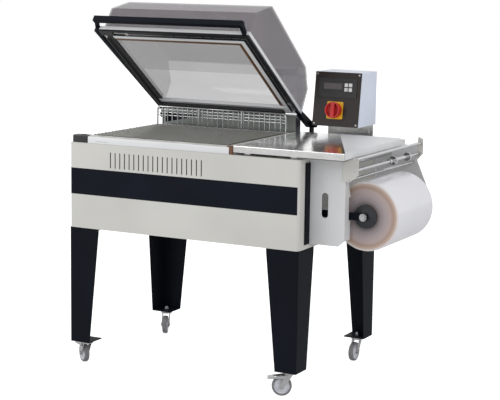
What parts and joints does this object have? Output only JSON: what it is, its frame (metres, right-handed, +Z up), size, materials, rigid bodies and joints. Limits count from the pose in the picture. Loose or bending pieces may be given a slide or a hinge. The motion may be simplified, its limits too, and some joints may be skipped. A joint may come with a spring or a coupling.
{
  "type": "l bar sealer",
  "caption": "Chamber shrink wrapper on castered legs: a clear hood with an L-shaped seal blade over a wire grid, a packing table and a film reel.",
  "frame": {"origin": "on the floor, under the middle of the whole machine", "axes": "+X from the hood side to the film reel side, +Y from the front panel to the rear, +Z up"},
  "size_m": [1.3518, 0.7242, 1.4191],
  "materials": {
    "cream_paint": "satin",
    "white_paint": "satin",
    "white_aluminium": "satin",
    "black_paint": "satin",
    "dark_paint": "satin",
    "dark_film": "matte",
    "zinc_steel": "satin",
    "stainless_sheet": "satin",
    "bright_wire": "polished",
    "bright_bar": "polished",
    "brown_coated_cloth": "satin",
    "smoked_clear": "polished",
    "black_channel": "satin",
    "black_foam": "matte",
    "black_plastic": "matte",
    "white_plastic": "matte",
    "dark_duct": "satin",
    "dark_panel": "matte",
    "dark_window": "polished",
    "yellow_plastic": "satin",
    "red_plastic": "satin",
    "grey_rubber": "matte",
    "brown_board": "matte",
    "clear_film": "satin"
  },
  "bodies": {
    "root": {"air_duct": "dark_duct", "base_pan": "cream_paint", "blower_motor": "dark_paint", "body_shell": "cream_paint", "box_bracket": "stainless_sheet", "carriage_plate_front": "white_paint", "carriage_plate_rear": "white_paint", "chamber_tub": "stainless_sheet", "control_box": "white_paint", "control_panel": "dark_panel", "display_unit": "black_plastic", "display_window": "dark_window", "film_spreader": "white_paint", "front_stripe": "dark_film", "heating_element": "zinc_steel", "hinge_brackets": "black_paint", "leg_fasteners": "zinc_steel", "legs": "black_paint", "magnet_cover": "black_plastic", "packing_table": "stainless_sheet", "panel_screws": "zinc_steel", "product_grid": "bright_wire", "reel_arm": "black_paint", "rim_frame": "white_paint", "roller_brackets": "white_paint", "seal_pads": "brown_coated_cloth", "switch_plate": "yellow_plastic", "tie_bars": "bright_bar", "wire_guard": "bright_wire"},
    "hood": {"hood_cover": "smoked_clear", "hood_frame": "white_aluminium", "blade_holder": "black_channel", "seal_blade": "zinc_steel", "blade_tensioners": "zinc_steel", "press_strips": "white_aluminium", "cover_strips": "brown_coated_cloth", "hood_gasket": "black_foam", "hood_arms": "black_paint"},
    "main_switch_knob": {"switch_knob": "red_plastic"},
    "fan_rotor": {"fan_wheel": "stainless_sheet"},
    "film_reel": {"reel_shaft": "bright_bar", "reel_cones": "black_plastic", "reel_core": "brown_board", "film_roll": "clear_film"},
    "top_roller": {"film_roller_top": "bright_bar"},
    "pricking_roller": {"pin_roller": "bright_bar"},
    "key_1_cap": {"key_1": "white_plastic"},
    "key_2_cap": {"key_2": "white_plastic"},
    "key_3_cap": {"key_3": "white_plastic"},
    "key_4_cap": {"key_4": "white_plastic"},
    "swivel_front_left": {"caster_fork_front_left": "zinc_steel"},
    "wheel_front_left": {"caster_wheel_front_left": "grey_rubber"},
    "swivel_front_right": {"caster_fork_front_right": "zinc_steel"},
    "wheel_front_right": {"caster_wheel_front_right": "grey_rubber"},
    "swivel_rear_left": {"caster_fork_rear_left": "zinc_steel"},
    "wheel_rear_left": {"caster_wheel_rear_left": "grey_rubber"},
    "swivel_rear_right": {"caster_fork_rear_right": "zinc_steel"},
    "wheel_rear_right": {"caster_wheel_rear_right": "grey_rubber"},
    "pedal_front_left": {"brake_pedal_front_left": "zinc_steel"},
    "pedal_front_right": {"brake_pedal_front_right": "zinc_steel"}
  },
  "joints": [
    {"name": "hood_hinge", "type": "hinge", "parent": "root", "child": "hood", "pos_m": [-0.56912, 0.3201, 0.94], "axis": [1, 0, 0], "range_deg": [0, 35.9]},
    {"name": "main_switch_turn", "type": "hinge", "parent": "root", "child": "main_switch_knob", "pos_m": [0.23588, 0.18753, 1.0155], "axis": [0, 0.9899, -0.1414], "range_deg": [0, 90]},
    {"name": "key_1_press", "type": "slide", "parent": "root", "child": "key_1_cap", "axis": [0, 0.9899, -0.1414], "range_m": [0, 0.0012], "stiffness_N_per_m": 400, "springref_m": -0.0005},
    {"name": "key_2_press", "type": "slide", "parent": "root", "child": "key_2_cap", "axis": [0, 0.9899, -0.1414], "range_m": [0, 0.0012], "stiffness_N_per_m": 400, "springref_m": -0.0005},
    {"name": "key_3_press", "type": "slide", "parent": "root", "child": "key_3_cap", "axis": [0, 0.9899, -0.1414], "range_m": [0, 0.0012], "stiffness_N_per_m": 400, "springref_m": -0.0005},
    {"name": "key_4_press", "type": "slide", "parent": "root", "child": "key_4_cap", "axis": [0, 0.9899, -0.1414], "range_m": [0, 0.0012], "stiffness_N_per_m": 400, "springref_m": -0.0005},
    {"name": "fan_spin", "type": "hinge", "parent": "root", "child": "fan_rotor", "pos_m": [-0.26562, -0.0624, 0.64], "axis": [0, 0, 1], "continuous": true},
    {"name": "reel_turn", "type": "hinge", "parent": "root", "child": "film_reel", "pos_m": [0.54888, -0.2119, 0.68], "axis": [0, 1, 0], "continuous": true},
    {"name": "top_roller_turn", "type": "hinge", "parent": "root", "child": "top_roller", "pos_m": [0.53288, -0.2729, 0.892], "axis": [0, 1, 0], "continuous": true},
    {"name": "pricking_roller_turn", "type": "hinge", "parent": "root", "child": "pricking_roller", "pos_m": [0.52788, -0.2729, 0.851], "axis": [0, 1, 0], "continuous": true},
    {"name": "swivel_front_left_turn", "type": "hinge", "parent": "root", "child": "swivel_front_left", "pos_m": [-0.59612, -0.3059, 0.087], "axis": [0, 0, 1], "continuous": true},
    {"name": "wheel_front_left_roll", "type": "hinge", "parent": "swivel_front_left", "child": "wheel_front_left", "pos_m": [-0.62057, -0.28852, 0.0375], "axis": [-0.5793, -0.8151, 0], "continuous": true},
    {"name": "pedal_front_left_press", "type": "hinge", "parent": "swivel_front_left", "child": "pedal_front_left", "pos_m": [-0.6059, -0.29895, 0.074], "axis": [-0.5793, -0.8151, 0], "range_deg": [0, 7]},
    {"name": "swivel_front_right_turn", "type": "hinge", "parent": "root", "child": "swivel_front_right", "pos_m": [0.30188, -0.3059, 0.087], "axis": [0, 0, 1], "continuous": true},
    {"name": "wheel_front_right_roll", "type": "hinge", "parent": "swivel_front_right", "child": "wheel_front_right", "pos_m": [0.2753, -0.3198, 0.0375], "axis": [0.4633, -0.8862, 0], "continuous": true},
    {"name": "pedal_front_right_press", "type": "hinge", "parent": "swivel_front_right", "child": "pedal_front_right", "pos_m": [0.29125, -0.31146, 0.074], "axis": [0.4633, -0.8862, 0], "range_deg": [0, 7]},
    {"name": "swivel_rear_left_turn", "type": "hinge", "parent": "root", "child": "swivel_rear_left", "pos_m": [-0.59612, 0.3081, 0.087], "axis": [0, 0, 1], "continuous": true},
    {"name": "wheel_rear_left_roll", "type": "hinge", "parent": "swivel_rear_left", "child": "wheel_rear_left", "pos_m": [-0.58488, 0.28028, 0.0375], "axis": [0.9272, 0.3746, 0], "continuous": true},
    {"name": "swivel_rear_right_turn", "type": "hinge", "parent": "root", "child": "swivel_rear_right", "pos_m": [0.30188, 0.3081, 0.087], "axis": [0, 0, 1], "continuous": true},
    {"name": "wheel_rear_right_roll", "type": "hinge", "parent": "swivel_rear_right", "child": "wheel_rear_right", "pos_m": [0.30188, 0.2781, 0.0375], "axis": [1, 0, 0], "continuous": true}
  ]
}
